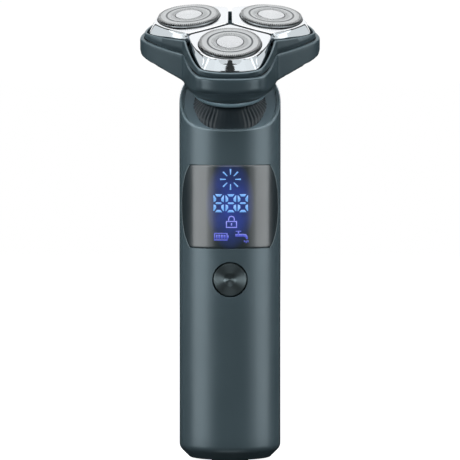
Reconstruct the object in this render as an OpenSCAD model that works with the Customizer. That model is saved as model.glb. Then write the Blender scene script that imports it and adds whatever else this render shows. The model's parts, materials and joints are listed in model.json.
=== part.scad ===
// Rotary electric shaver: cylindrical handle with a display window, and a
// tilted three-lobe shaving head on a gimballed neck.
// Frame: millimetres, +Z up, origin at the centre of the resting face under
// the foot pad, front (display side) towards -Y.

/* [Handle] */
// Outer radius of the handle
body_r = 17.2; // [16.8:0.1:18]
// Wall thickness of the handle shell
body_wall = 1.5; // [1.3:0.1:1.6]
// Width of the chamfer round the base
base_chamfer = 3.4; // [2.5:0.1:3.6]
// How far the foot pad stands out under the base
foot_h = 0.8; // [0.6:0.1:1]
// Slope of the straight part of the scooped top, in degrees
scoop_slope = 39; // [37:1:40]
// Radius of the rounded front part of the scooped top
scoop_r = 21; // [20:0.5:22]

/* [Display and button] */
// Height of the display window's lower edge
display_z = 72.6; // [70:0.1:74]
// Height of the display window
display_h = 28.2; // [26:0.1:29]
// Radius of the bulging side edges of the window
display_side_r = 21.7; // [21:0.1:23]
// Height of the power button's centre
button_z = 62.2; // [61:0.1:63]
// Radius of the power button
button_r = 5.5; // [5:0.1:5.6]
// Travel of the power button
button_travel = 0.6; // [0.4:0.1:0.6]

/* [Head] */
// Forward tilt of the head axis, in degrees
head_tilt = 21.3; // [20:0.1:22]
// Outward tilt of each lobe, in degrees
lobe_tilt = 5; // [4:0.5:5.5]
// Distance from the head axis to a foil's centre
foil_centre_r = 16.15; // [16:0.05:16.2]
// Outer radius of a foil
foil_r = 10.5; // [10.2:0.1:10.5]
// How far a foil stands above the chrome plate
foil_proud = 1.1; // [0.9:0.1:1.2]
// Depth of the chrome skirt
skirt_h = 3.9; // [3.5:0.1:4]
// Gap between neighbouring lobes
lobe_gap = 1.6; // [1.4:0.1:2]

/* [Hidden] */
$fn = 64;
far = 200;          // longer than any cut needs
shell_in_r = body_r - body_wall;

// handle inside, heights above the resting face
cap_r = 13.5;       // opening in the base
cap_top = 3.4;
port_y = 6.2;
chassis_r = shell_in_r - 0.2;
chassis_wall = 1.2;
board_t = 1.2;
main_board_y = -9.5;        // front face of the main board
display_board_y = -12.4;    // front face of the display board
battery_r = 7;
battery_y = 4;
motor_r = 10;
motor_y = 0.72;             // the motor's axis meets the neck pivot
motor_bottom = 79;
motor_top = 105;
motor_shaft_r = 1;
mount_top = 108;

// scooped top, side profile in (y, z)
scoop_c = [-19.5, 133.7];
scoop_p = scoop_c + scoop_r * [sin(scoop_slope), -cos(scoop_slope)];
scoop_far = scoop_p + 60 * [cos(scoop_slope), sin(scoop_slope)];

// head frame: apex where the three plates meet, local +Z along the head axis
apex = [0, -9.6, 148.7];
pivot_d = 28.4;             // depth of the neck pivot below the apex
rim_back_d = 23.5;          // depth of the back of the handle's rim
part_d = 7.9;               // depth of the joint between frame and chamber
part_gap = 0.05;            // half of the gap in that joint
edge_tilt = 8.7;            // slope of the frame's upper edge along each lobe
edge_d = 1.7;               // depth of that edge's plane below the apex
band_d = 12.7;              // lower edge of the chamber's upright band
chamber_end_d = 24.3;
collar_end_d = 26.4;
collar_r = 12.6;
boot_d = 27.4;              // top of the boot round the neck
boot_r = 10;
spindle_r = 15.85;          // head axis to spindle axis
gear_d = 11;                // top of the gears
gear_t = 2;
gear_module = spindle_r * 2 / 45;
centre_teeth = 15;
spindle_teeth = 30;
post_r = 12;                // head axis to the cover screws
pin_v = 4.4;                // head axis to a lobe's pivot pin
pin_z = -3;

// half outlines of one lobe, from its tip to the waist, as (radial, sideways)
plate_half = [[27, 0], [26.7, 4.2], [26, 6.7], [23.6, 9.4], [19, 11.6], [16, 12.6],
              [11.9, 13.3], [8.9, 13.8]];
skirt_half = [[28.7, 0], [28.4, 5.1], [27.2, 8.8], [25.2, 10.3], [20.8, 11.9], [16.4, 12.9],
              [12.4, 13.8], [9.1, 14.1]];
frame_half = [[29.9, 0], [29.6, 5.4], [28.2, 9.7], [25.8, 11.4], [21.2, 13], [14.1, 14.8],
              [9, 15.59]];
housing_half = [[31, 0], [30.8, 5.7], [29.6, 10.3], [27, 12.4], [22, 13.9], [14.4, 15.3],
                [9.15, 15.85]];

function turned(p, a) = [p.x * cos(a) - p.y * sin(a), p.x * sin(a) + p.y * cos(a)];

// both sides of a half outline, from the one waist to the other
function both_sides(half) = concat(
    [for (i = [len(half) - 1 : -1 : 1]) [half[i].x, -half[i].y]], half);

// closed outline of all three lobes, the first towards -Y; shared waist points appear once
function lobed(half) = [
    for (k = [0 : 2]) for (i = [1 : 2 * len(half) - 2]) turned(both_sides(half)[i], 120 * k - 90)
];

// closed outline of one lobe with its two straight edges along the gaps
function one_lobe(half) = concat([[lobe_gap / 2 / sin(60), 0]], both_sides(half));

// outline moved inwards by k along each corner's normal
function inset(pts, k) = [
    for (i = [0 : len(pts) - 1])
        let (n = len(pts), d = pts[(i + 1) % n] - pts[(i + n - 1) % n])
        pts[i] - k * [d.y, -d.x] / norm(d)
];

function gear_outline(teeth, m) = [
    for (i = [0 : teeth - 1]) for (s = [[-0.24, -1.25], [-0.14, 0.85], [0.14, 0.85], [0.24, -1.25]])
        let (r = m * teeth / 2 + s[1] * m, a = 360 / teeth * (i + s[0]))
        [r * cos(a), r * sin(a)]
];

module in_head() translate(apex) rotate([head_tilt, 0, 0]) children();
module at_lobe(i) in_head() rotate([0, 0, -90 + 120 * (i - 1)]) children();
module in_lobe(i) at_lobe(i) rotate([0, lobe_tilt, 0]) children();
module at_foil(i) in_lobe(i) translate([foil_centre_r, 0, 0]) children();
module at_spindle(i) at_lobe(i) translate([spindle_r, 0, 0]) children();

// cylinder between two heights
module rod(z0, z1, r) translate([0, 0, z0]) cylinder(h = z1 - z0, r = r);
module tube(z0, z1, r_out, r_in) difference() {
    rod(z0, z1, r_out);
    rod(z0 - 1, z1 + 1, r_in);
}
module block(x0, x1, y0, y1, z0, z1) translate([x0, y0, z0]) cube([x1 - x0, y1 - y0, z1 - z0]);

// flat slab with round ends, long side along X
module slot(length, width, z0, z1) {
    half = (length - width) / 2;
    block(-half, half, -width / 2, width / 2, z0, z1);
    for (s = [-1, 1]) translate([s * half, 0, 0]) rod(z0, z1, width / 2);
}

// the charging port lies behind the centre, long side along Y
module at_port() translate([0, port_y, 0]) rotate([0, 0, 90]) children();

// round wire coil about Z
module coil(r, wire_r, height, turns) {
    sides = 8;
    per_turn = 14;
    steps = turns * per_turn;
    points = [for (i = [0 : steps]) for (j = [0 : sides - 1])
        let (a = 360 * i / per_turn, b = 360 * j / sides, q = r + wire_r * cos(b))
        [q * cos(a), q * sin(a), height * i / steps + wire_r * sin(b)]];
    walls = [for (i = [0 : steps - 1]) for (j = [0 : sides - 1])
        let (a = i * sides + j, b = i * sides + (j + 1) % sides)
        [a, a + sides, b + sides, b]];
    first = [for (j = [0 : sides - 1]) j];
    last = [for (j = [sides - 1 : -1 : 0]) steps * sides + j];
    polyhedron(points, concat([first, last], walls));
}

// everything above the scooped top, its surface moved down by k; the back of the
// rim is square to the head axis, which leaves the head room to tilt
module above_scoop(k) {
    down = k * [sin(scoop_slope), -cos(scoop_slope)];
    in_head() block(-40, 40, -60, 60, -rim_back_d - k, 60);
    rotate([90, 0, 90]) translate([0, 0, -far / 2]) linear_extrude(far) {
        translate(scoop_c) circle(scoop_r + k);
        polygon([scoop_p + down, scoop_far + down, [scoop_far.x + down.x, far], [-60, far],
                 [-60, scoop_c.y], scoop_c]);
    }
}

// the window's solid outline through the front wall, grown by k
module window_cut(k) {
    mid_z = display_z + display_h / 2;
    corner_y = -10.5;
    depth = display_side_r - sqrt(pow(display_side_r, 2) - pow(display_h / 2, 2));
    intersection() {
        translate([0, corner_y + depth - display_side_r, mid_z]) rotate([0, 90, 0])
            cylinder(h = far, r = display_side_r + k, center = true);
        block(-far, far, -far, 0, display_z - k, display_z + display_h + k);
    }
}

module handle_shell() color([0.21, 0.26, 0.28]) difference() {
    union() {
        translate([0, 0, foot_h]) cylinder(h = base_chamfer, r1 = body_r - base_chamfer, r2 = body_r);
        rod(foot_h + base_chamfer, 150, body_r);
    }
    rod(0, cap_top + 1, cap_r);
    translate([0, 0, cap_top]) cylinder(h = 2, r1 = cap_r, r2 = shell_in_r);
    rod(cap_top + 2, 151, shell_in_r);
    above_scoop(0);
    window_cut(0.06);
    translate([0, 0, button_z]) rotate([90, 0, 0]) rod(10, 20, button_r + 0.5);
}

module bottom_cap() color([0.16, 0.18, 0.19]) difference() {
    union() {
        rod(foot_h, cap_top, cap_r - 0.1);
        rod(cap_top, cap_top + 1.2, cap_r - 1.2);
    }
    at_port() slot(9.6, 4, 0, 6);
}

module foot_pad() color([0.1, 0.1, 0.11]) difference() {
    rotate([0, 0, 90]) slot(26, 12.5, 0, foot_h);
    at_port() slot(10, 4.6, -1, 2);
}

module port_cover() color([0.13, 0.13, 0.14]) at_port() {
    slot(9.4, 4, 0.25, 0.75);
    slot(7.6, 2, 0.75, 2.4);
}

module charging_socket() color([0.75, 0.76, 0.78]) at_port() {
    difference() {
        slot(8.9, 3.2, 3, 10);
        slot(8.3, 2.6, 2, 9.4);
    }
    block(-3.3, 3.3, -0.35, 0.35, 4, 9.4);
}

module charge_board() color([0.08, 0.3, 0.16]) rod(10, 10 + board_t, 12);

module chassis() color([0.82, 0.83, 0.82]) {
    rear = -4;
    difference() {
        intersection() {
            tube(cap_top + 4, motor_top, chassis_r, chassis_r - chassis_wall);
            block(-far, far, rear, far, 0, far);
        }
        rod(9.6, 11.6, chassis_r - chassis_wall + 0.4);
    }
    // shelves that carry the battery and the motor
    for (z = [12.4, 66]) intersection() {
        rod(z, z + 1.4, chassis_r - 0.6);
        block(-far, far, rear, far, 0, far);
    }
    difference() {
        intersection() {
            rod(motor_bottom - 1.6, motor_bottom - 0.2, chassis_r - 0.6);
            block(-far, far, rear, far, 0, far);
        }
        translate([0, motor_y, 0]) rod(motor_bottom - 2, motor_bottom, 2.4);
    }
}

module battery_cell() color([0.15, 0.35, 0.6]) translate([0, battery_y, 0]) {
    rod(14, 63.4, battery_r);
    rod(63.4, 64.6, 2.6);
}

module main_board() color([0.06, 0.28, 0.14])
    block(-11.5, 11.5, main_board_y, main_board_y + board_t, 12, 70);

module power_switch() color([0.6, 0.6, 0.58]) translate([0, 0, button_z]) {
    block(-3, 3, main_board_y - 1.8, main_board_y, -3, 3);
    rotate([90, 0, 0]) rod(-main_board_y + 1.8, -main_board_y + 2.4, 1.5);
}

module display_board() color([0.05, 0.2, 0.1])
    block(-8, 8, display_board_y, display_board_y + board_t, display_z, display_z + display_h);

module light_mask() color([0.05, 0.06, 0.07]) intersection() {
    tube(display_z - 0.6, display_z + display_h + 0.6, shell_in_r - 0.1, shell_in_r - 0.7);
    block(-12.5, 12.5, -far, 0, 0, far);
}

module display_lens() color([0.1, 0.13, 0.14]) intersection() {
    tube(display_z, display_z + display_h, body_r, body_r - 1.3);
    window_cut(0);
}

module motor_can() color([0.7, 0.71, 0.72]) translate([0, motor_y, 0]) difference() {
    union() {
        rod(motor_bottom, motor_top, motor_r);
        rod(motor_top, motor_top + 1.4, 3);
    }
    rod(motor_bottom + 1, motor_top - 1, motor_r - 1);
    rod(motor_bottom + 0.4, motor_top + 2, motor_shaft_r + 0.05);
}

module motor_mount() color([0.3, 0.31, 0.32]) difference() {
    rod(motor_top + 0.1, mount_top, chassis_r);
    translate([0, motor_y, 0]) rod(motor_top - 1, mount_top + 1, 3.1);
    for (s = [-1, 1]) translate([6 * s, motor_y, 0]) {
        rod(motor_top - 1, mount_top + 1, 1.1);
        rod(mount_top - 1.2, mount_top + 1, 2.1);
    }
}

module motor_screws() color([0.55, 0.55, 0.56]) for (s = [-1, 1]) translate([6 * s, motor_y, 0])
    difference() {
        union() {
            rod(motor_top + 0.1, mount_top - 1.1, 1);
            rod(mount_top - 1.1, mount_top - 0.1, 1.9);
        }
        rotate([0, 0, 45]) block(-1.3, 1.3, -0.25, 0.25, mount_top - 0.6, mount_top);
        rotate([0, 0, -45]) block(-1.3, 1.3, -0.25, 0.25, mount_top - 0.6, mount_top);
    }

module motor_rotor() color([0.6, 0.45, 0.3]) translate([0, motor_y, 0]) {
    ball_z = apex.z - pivot_d * cos(head_tilt);
    rod(motor_bottom + 2, motor_top - 3, motor_r - 2.2);
    rod(motor_bottom + 0.6, ball_z - 1.6, motor_shaft_r);
    rod(ball_z - 1.7, ball_z, 0.75);
    translate([0, 0, ball_z]) sphere(r = 1.2);
}

// cover inside the scooped rim, with a conical boot round the neck and a hollow
// at the back that clears the tilting collar
module top_cover() color([0.13, 0.16, 0.18]) difference() {
    union() {
        difference() {
            rod(mount_top + 0.4, 150, shell_in_r - 0.1);
            above_scoop(0.9);
            in_head() translate([0, 0, -boot_d - 1]) cylinder(h = 8, r1 = 13.8, r2 = 21.8);
        }
        intersection() {
            rod(mount_top + 0.4, 150, shell_in_r - 0.1);
            in_head() translate([0, 0, -boot_d - 6]) cylinder(h = 6, r1 = boot_r + 6.2, r2 = boot_r);
        }
    }
    in_head() rod(-60, -20, 8.6);
    difference() {
        rod(mount_top - 1, 150, shell_in_r - 1.9);
        above_scoop(10.5);
    }
}

module neck_yoke() color([0.2, 0.21, 0.22]) in_head() difference() {
    tube(-36, -26.9, 8.5, 7.1);
    translate([0, 0, -pivot_d]) rotate([0, 90, 0]) cylinder(h = 30, r = 0.8, center = true);
}

module pitch_pins() color([0.72, 0.73, 0.74]) in_head() translate([0, 0, -pivot_d])
    for (s = [-1, 1]) rotate([0, 90 * s, 0]) rod(5.4, 8.4, 0.8);

module gimbal_ring() color([0.45, 0.46, 0.47]) in_head() difference() {
    tube(-30, -26.8, 6.7, 5);
    translate([0, 0, -pivot_d]) {
        rotate([0, 90, 0]) cylinder(h = 30, r = 0.85, center = true);
        rotate([90, 0, 0]) cylinder(h = 30, r = 0.8, center = true);
    }
}

module roll_pins() color([0.72, 0.73, 0.74]) in_head() translate([0, 0, -pivot_d])
    for (s = [-1, 1]) rotate([90 * s, 0, 0]) rod(3.2, 6.6, 0.8);

module neck_stem() color([0.2, 0.21, 0.22]) in_head() difference() {
    union() {
        rod(-21.7, -20.5, 13.4);
        rod(-30.4, -21, 4.3);
    }
    rod(-40, -10, 2.5);
    translate([0, 0, -pivot_d]) rotate([90, 0, 0]) cylinder(h = 30, r = 0.85, center = true);
}

// closed bowl under the shaving frame: three lobes above, a round funnel below
module chamber_body() color([0.21, 0.26, 0.28]) in_head() difference() {
    intersection() {
        translate([0, 0, -30]) linear_extrude(30 - part_d - part_gap) polygon(lobed(housing_half));
        rotate_extrude() polygon([[0, 0], [32, 0], [32, -band_d], [30.8, -13.6], [28.5, -14.3],
                                  [22.9, -15.7], [18.2, -17.6], [16.3, -20], [15.3, -22.4],
                                  [13.2, -chamber_end_d], [0, -chamber_end_d]]);
    }
    intersection() {
        translate([0, 0, -30]) linear_extrude(40) polygon(inset(lobed(housing_half), 1.3));
        rotate_extrude() polygon([[0, 0], [32, 0], [32, -band_d + 0.4], [28.2, -13.05], [22.5, -14.4],
                                  [20.9, -15], [17, -16.6], [15, -19.4], [14.2, -21.8], [0, -21.8]]);
    }
    rod(-30, -20, 9);
}

module neck_collar() color([0.2, 0.24, 0.26]) in_head() rotate_extrude()
    polygon([[9, -chamber_end_d], [collar_r, -chamber_end_d], [collar_r, -25.5], [12.3, -26.1],
             [11.7, -collar_end_d], [9, -collar_end_d]]);

module gear_base() color([0.85, 0.85, 0.83]) in_head() difference() {
    intersection() {
        translate([0, 0, -14.6]) linear_extrude(1.2) polygon(inset(lobed(housing_half), 1.7));
        rod(-20, 0, 20.5);
    }
    rod(-20, 0, 1.6);
    for (i = [0 : 2]) rotate([0, 0, -90 + 120 * i]) {
        translate([spindle_r, 0, 0]) rod(-20, 0, 1.45);
    }
}

// posts of the cover stand between the gears
module gear_cover() color([0.5, 0.51, 0.52]) in_head() difference() {
    union() {
        translate([0, 0, -10.6]) linear_extrude(1) polygon(inset(lobed(housing_half), 1.7));
        for (i = [0 : 2]) rotate([0, 0, -30 + 120 * i]) translate([post_r, 0, 0]) rod(-13.3, -10, 2.4);
    }
    for (i = [0 : 2]) rotate([0, 0, -90 + 120 * i]) {
        translate([spindle_r, 0, 0]) rod(-20, 0, 2.9);
        rotate([0, 0, 60]) translate([post_r, 0, 0]) rod(-20, 0, 0.9);
    }
}

module cover_screws() color([0.7, 0.71, 0.72]) in_head()
    for (i = [0 : 2]) rotate([0, 0, -30 + 120 * i]) translate([post_r, 0, 0]) difference() {
        union() {
            rod(-13.2, -9.5, 0.8);
            rod(-9.55, -8.8, 1.7);
        }
        for (a = [45, -45]) rotate([0, 0, a]) block(-1.2, 1.2, -0.2, 0.2, -9.2, 0);
    }

module chamber_seal() color([0.06, 0.06, 0.06]) in_head() difference() {
    translate([0, 0, -9.5]) linear_extrude(0.9) polygon(inset(lobed(housing_half), 1.4));
    translate([0, 0, -10]) linear_extrude(2) polygon(inset(lobed(housing_half), 2.2));
}

module centre_gear() color([0.9, 0.88, 0.8]) in_head() difference() {
    translate([0, 0, -gear_d - gear_t]) rotate([0, 0, -90]) linear_extrude(gear_t)
        polygon(gear_outline(centre_teeth, gear_module));
    rod(-20, 0, 1.5);
}

module drive_shaft() color([0.72, 0.73, 0.74]) in_head() {
    rod(-26, -gear_d, 1.5);
    tube(-29, -26, 2, 1.45);
}

module spindle_gear(i) color([0.9, 0.88, 0.8]) at_spindle(i) {
    translate([0, 0, -gear_d - gear_t]) rotate([0, 0, 180 / spindle_teeth]) linear_extrude(gear_t)
        polygon(gear_outline(spindle_teeth, gear_module));
    rod(-14.6, -gear_d, 1.4);
    rod(-gear_d, -7.3, 1.2);
}

// sprung sleeve that turns the cutter and lets it float
module spindle_tip(i) color([0.88, 0.88, 0.86]) at_spindle(i) {
    tube(-9.2, -6.4, 2.3, 1.25);
    rod(-6.4, -5.7, 2.3);
    rod(-5.7, -4.7, 0.8);
    translate([0, 0, -4.7]) sphere(r = 0.8);
}

module spindle_spring(i) color([0.75, 0.76, 0.78]) at_spindle(i)
    translate([0, 0, -10.75]) coil(1.75, 0.2, 1.3, 3);

module button_spring() color([0.75, 0.76, 0.78])
    translate([0, main_board_y - 0.35, button_z]) rotate([90, 0, 0]) coil(4.6, 0.25, 3, 3);

module power_button() color([0.23, 0.27, 0.29]) translate([0, 0, button_z]) rotate([90, 0, 0])
    difference() {
        union() {
            rod(13.2, 16.9, button_r);
            rod(13.2, 13.9, button_r + 0.9);
            rod(12.6, 13.2, 1.6);
        }
        translate([0, 0, 19.8]) sphere(r = 3.6);
    }

module upper_frame() color([0.2, 0.24, 0.26]) in_head() {
    difference() {
        translate([0, 0, part_gap - part_d]) linear_extrude(part_d) polygon(lobed(frame_half));
        translate([0, 0, -20]) linear_extrude(40) polygon(inset(lobed(frame_half), 0.9));
        for (i = [0 : 2]) rotate([0, 0, -90 + 120 * i]) rotate([0, edge_tilt, 0])
            block(-60, 60, -60, 60, -edge_d, 20);
    }
    // hub and arms that carry the lobes
    hub_top = -6.1;
    difference() {
        union() {
            rod(-part_d + part_gap, hub_top, 7.8);
            for (i = [0 : 2]) rotate([0, 0, -30 + 120 * i])
                block(0, 17.4, -2, 2, -part_d + part_gap, hub_top);
            for (i = [0 : 2]) rotate([0, 0, -90 + 120 * i]) block(pin_v - 1, pin_v + 1, -1.5, 1.5, -7.5, -2.05);
        }
        for (i = [0 : 2]) rotate([0, 0, -90 + 120 * i]) rotate([0, lobe_tilt, 0])
            translate([pin_v, 0, pin_z]) rotate([90, 0, 0]) cylinder(h = 5, r = 0.8, center = true);
    }
}

module lobe_pins() color([0.72, 0.73, 0.74]) for (i = [1 : 3]) in_lobe(i)
    translate([pin_v, 0, pin_z]) rotate([90, 0, 0]) cylinder(h = 7.6, r = 0.8, center = true);

// chrome plate with its flared skirt, hollow below, with two ears for its pivot pin
module lobe_frame(i) color([0.86, 0.88, 0.9]) in_lobe(i) difference() {
    union() {
        difference() {
            flared(one_lobe(plate_half), one_lobe(skirt_half), 0, -skirt_h);
            flared(inset(one_lobe(plate_half), 0.9), inset(one_lobe(skirt_half), 0.9),
                   -1.2, -skirt_h - 0.6);
        }
        for (s = [-1, 1])
            block(pin_v - 1.2, pin_v + 1.2, 2.8 * s - 0.9, 2.8 * s + 0.9, pin_z - 1.2, -0.8);
    }
    translate([foil_centre_r, 0, 0]) rod(-5, 2, foil_r - 0.2);
    translate([pin_v, 0, pin_z]) rotate([90, 0, 0]) cylinder(h = 8, r = 0.85, center = true);
}

// solid between a top outline and a bottom outline
module flared(top_pts, bottom_pts, top_z, bottom_z) hull() {
    translate([0, 0, top_z - 0.4]) linear_extrude(0.4) polygon(top_pts);
    translate([0, 0, bottom_z]) linear_extrude(0.2) polygon(bottom_pts);
}

// thin cup that the cutter runs in, resting on the plate
module foil_cap(i) color([0.8, 0.82, 0.84]) at_foil(i) rotate_extrude() polygon([
    [4.6, foil_proud - 0.3], [9.8, foil_proud - 0.3], [9.8, -2.2], [foil_r - 0.3, -2.2],
    [foil_r - 0.3, 0.05], [foil_r, 0.05], [foil_r, foil_proud - 0.3], [foil_r - 0.3, foil_proud],
    [4.6, foil_proud]]);

module foil_centre(i) color([0.7, 0.72, 0.74]) at_foil(i) rotate_extrude() polygon([
    [0, foil_proud - 0.4], [4.5, foil_proud - 0.4], [4.5, foil_proud], [3.6, foil_proud + 0.12],
    [0, foil_proud + 0.2]]);

module retaining_ring(i) color([0.3, 0.31, 0.32]) at_foil(i) {
    tube(-3.3, -2.4, 9.9, 8.2);
    tube(-3.3, -2.4, 4.3, 3.2);
    for (a = [0, 120, 240]) rotate([0, 0, a]) block(3.8, 8.6, -0.8, 0.8, -3.2, -2.5);
}

module cutter(i) color([0.78, 0.79, 0.8]) at_foil(i) difference() {
    union() {
        rod(-1.5, -0.9, 9.4);
        rod(-3.3, -1.4, 2.6);
        for (k = [0 : 14]) rotate([0, 0, 24 * k]) block(5.2, 9.4, -0.25, 0.25, -1, foil_proud - 0.4);
    }
    rod(-5, -1.8, 1.5);
}

handle_shell();
bottom_cap();
foot_pad();
charging_socket();
charge_board();
chassis();
battery_cell();
main_board();
power_switch();
display_board();
light_mask();
display_lens();
motor_can();
motor_mount();
motor_screws();
top_cover();
neck_yoke();
pitch_pins();
power_button();
button_spring();
port_cover();
motor_rotor();
gimbal_ring();
roll_pins();
chamber_body();
neck_collar();
neck_stem();
gear_base();
gear_cover();
cover_screws();
chamber_seal();
centre_gear();
drive_shaft();
for (i = [1 : 3]) {
    spindle_gear(i);
    spindle_tip(i);
    spindle_spring(i);
    lobe_frame(i);
    foil_cap(i);
    foil_centre(i);
    retaining_ring(i);
    cutter(i);
}
upper_frame();
lobe_pins();
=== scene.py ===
"""Rotary electric shaver: looks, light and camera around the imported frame."""

import json
import math

import bmesh
import bpy
import numpy as np
from mathutils import Matrix, Vector

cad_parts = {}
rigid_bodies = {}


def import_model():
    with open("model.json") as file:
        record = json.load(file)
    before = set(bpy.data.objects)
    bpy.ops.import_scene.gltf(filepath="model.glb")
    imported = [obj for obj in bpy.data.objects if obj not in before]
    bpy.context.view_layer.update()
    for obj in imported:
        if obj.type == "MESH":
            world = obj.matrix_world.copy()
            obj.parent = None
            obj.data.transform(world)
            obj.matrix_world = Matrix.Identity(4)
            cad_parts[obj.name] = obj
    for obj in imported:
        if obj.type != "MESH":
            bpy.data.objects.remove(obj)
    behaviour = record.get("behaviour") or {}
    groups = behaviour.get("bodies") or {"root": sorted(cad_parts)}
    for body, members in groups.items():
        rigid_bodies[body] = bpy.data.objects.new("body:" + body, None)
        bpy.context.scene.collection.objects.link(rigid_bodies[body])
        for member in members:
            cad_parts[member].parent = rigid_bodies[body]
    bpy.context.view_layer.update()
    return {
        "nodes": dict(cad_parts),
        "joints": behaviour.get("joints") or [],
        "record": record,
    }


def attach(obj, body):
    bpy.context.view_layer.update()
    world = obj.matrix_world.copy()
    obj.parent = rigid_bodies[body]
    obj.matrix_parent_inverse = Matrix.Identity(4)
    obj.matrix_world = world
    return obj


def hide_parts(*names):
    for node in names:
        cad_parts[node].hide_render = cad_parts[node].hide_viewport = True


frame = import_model()

MM = 0.001
JOINTS = {j["name"]: j for j in frame["joints"]}

# ---------------------------------------------------------------- dimensions, in millimetres
BODY_R = 17.2
SHELL_IN_R = 15.7
BASE_Z = 0.8
CHAMFER = 3.4
RIM_W = 1.35
SCOOP_SLOPE = math.radians(39)
SCOOP_R = 21.0
SCOOP_C = (-19.5, 133.7)
RIM_BACK_D = 23.5
WINDOW_Z0, WINDOW_Z1 = 72.6, 100.8
WINDOW_SIDE_R = 21.7
WINDOW_CORNER_Y = -10.5
BUTTON_Z = 62.2
BUTTON_R = 5.5
PIVOT_D = 28.4
LOBE_TILT = math.radians(5)
FOIL_CENTRE_R = 16.15
FOIL_PROUD = 1.1
SKIRT_H = 3.9
PART_D = 7.9
EDGE_TILT = math.radians(8.7)
EDGE_D = 1.7
BAND_D = 12.7
CHAMBER_END_D = 24.3
COLLAR_END_D = 26.4
BOOT_D = 27.4

# half outlines of a lobe from its tip to the waist, (radial, sideways), as in the CAD source
PLATE = [(27, 0), (26.7, 4.2), (26, 6.7), (23.6, 9.4), (19, 11.6), (16, 12.6), (11.9, 13.3), (8.9, 13.8)]
SKIRT = [(28.7, 0), (28.4, 5.1), (27.2, 8.8), (25.2, 10.3), (20.8, 11.9), (16.4, 12.9), (12.4, 13.8),
         (9.1, 14.1)]
FRAME_EDGE = [(29.9, 0), (29.6, 5.4), (28.2, 9.7), (25.8, 11.4), (21.2, 13), (14.1, 14.8), (9, 15.59)]
HOUSING = [(31, 0), (30.8, 5.7), (29.6, 10.3), (27, 12.4), (22, 13.9), (14.4, 15.3), (9.15, 15.85)]

# ---------------------------------------------------------------- frames
HEAD_AXIS = Vector(JOINTS["frame_lift"]["axis"])
HEAD_TILT = math.atan2(-HEAD_AXIS.y, HEAD_AXIS.z)
APEX = Vector(JOINTS["neck_pitch"]["pos_m"]) + HEAD_AXIS * PIVOT_D * MM
WORLD = Matrix.Identity(4)
HEAD = Matrix.Translation(APEX) @ Matrix.Rotation(HEAD_TILT, 4, "X")


def lobe_frame(i):
    turn = Matrix.Rotation(math.radians(-90 + 120 * (i - 1)), 4, "Z")
    return HEAD @ turn @ Matrix.Rotation(LOBE_TILT, 4, "Y")


def foil_frame(i):
    """Frame on a foil's axis, turned so that its X lies level."""
    tilted = lobe_frame(i) @ Matrix.Translation((FOIL_CENTRE_R * MM, 0, 0))
    axis = tilted.to_3x3() @ Vector((0, 0, 1))
    across = Vector((0, 0, 1)).cross(axis).normalized()
    basis = Matrix((across, axis.cross(across), axis)).transposed()
    return Matrix.Translation(tilted.translation) @ basis.to_4x4()


# ---------------------------------------------------------------- mesh building
def piece(name, verts, faces, material, body, slot, matrix=WORLD, replaces=(), sharp=35, bevel=0.0,
          local=False):
    """A mesh object from points in millimetres in the frame given by matrix, riding on a body.

    With local the object keeps that frame as its own, for materials that turn about its Z."""
    mesh = bpy.data.meshes.new(name)
    mesh.from_pydata([tuple(c * MM for c in v) for v in verts], [],
                     [tuple(int(i) for i in f) for f in faces])
    if not local:
        mesh.transform(matrix)
        matrix = WORLD
    bm = bmesh.new()
    bm.from_mesh(mesh)
    bmesh.ops.remove_doubles(bm, verts=bm.verts, dist=1e-7)
    bmesh.ops.recalc_face_normals(bm, faces=bm.faces)
    bm.to_mesh(mesh)
    bm.free()
    return finish_piece(name, mesh, material, body, matrix, replaces, sharp, bevel)


def finish_piece(name, mesh, material, body, matrix=WORLD, replaces=(), sharp=35, bevel=0.0):
    mesh.shade_smooth()
    mesh.set_sharp_from_angle(angle=math.radians(sharp))
    mesh.materials.append(material)
    ob = bpy.data.objects.new(name, mesh)
    bpy.context.scene.collection.objects.link(ob)
    ob.matrix_world = matrix
    if bevel:
        mod = ob.modifiers.new("edges", "BEVEL")
        mod.width = bevel * MM
        mod.segments = 3
        mod.limit_method = "ANGLE"
        mod.angle_limit = math.radians(40)
        mod.harden_normals = True
    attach(ob, body)
    if replaces:
        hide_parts(*replaces)
    return ob


def ring_faces(rows, cols, loop=False):
    """Quads of a grid of closed rings, rows rings of cols points each."""
    last = rows if loop else rows - 1
    return [(r * cols + c, r * cols + (c + 1) % cols, ((r + 1) % rows) * cols + (c + 1) % cols,
             ((r + 1) % rows) * cols + c) for r in range(last) for c in range(cols)]


def rings_piece(name, rings, *args, loop=True, **options):
    """A closed solid from rings of points, each ring a list of the same length."""
    cols = len(rings[0])
    verts = [p for ring in rings for p in ring]
    return piece(name, verts, ring_faces(len(rings), cols, loop), *args, **options)


def rounded(points, radius, steps=4, closed=True):
    """Outline with its corners replaced by short curves; radius is one number or one for each corner."""
    n = len(points)
    radii = radius if isinstance(radius, (list, tuple)) else [radius] * n
    out = []
    for i, p in enumerate(points):
        if not closed and i in (0, n - 1):
            out.append(tuple(p))
            continue
        p, a, b = np.array(p, float), np.array(points[i - 1], float), np.array(points[(i + 1) % n], float)
        da, db = np.linalg.norm(a - p), np.linalg.norm(b - p)
        start = p + (a - p) * min(radii[i] / da, 0.48)
        end = p + (b - p) * min(radii[i] / db, 0.48)
        for k in range(steps + 1):
            t = k / steps
            out.append(tuple((1 - t) ** 2 * start + 2 * t * (1 - t) * p + t * t * end))
    return out


def lathe(name, profile, material, body, slot, matrix=WORLD, cols=128, **options):
    """Closed profile of (radius, height) turned about the frame's Z."""
    rings = [[(r * math.cos(a), r * math.sin(a), z)
              for a in np.linspace(0, 2 * math.pi, cols, endpoint=False)]
             for r, z in profile]
    return rings_piece(name, rings, material, body, slot, matrix=matrix, **options)


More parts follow.
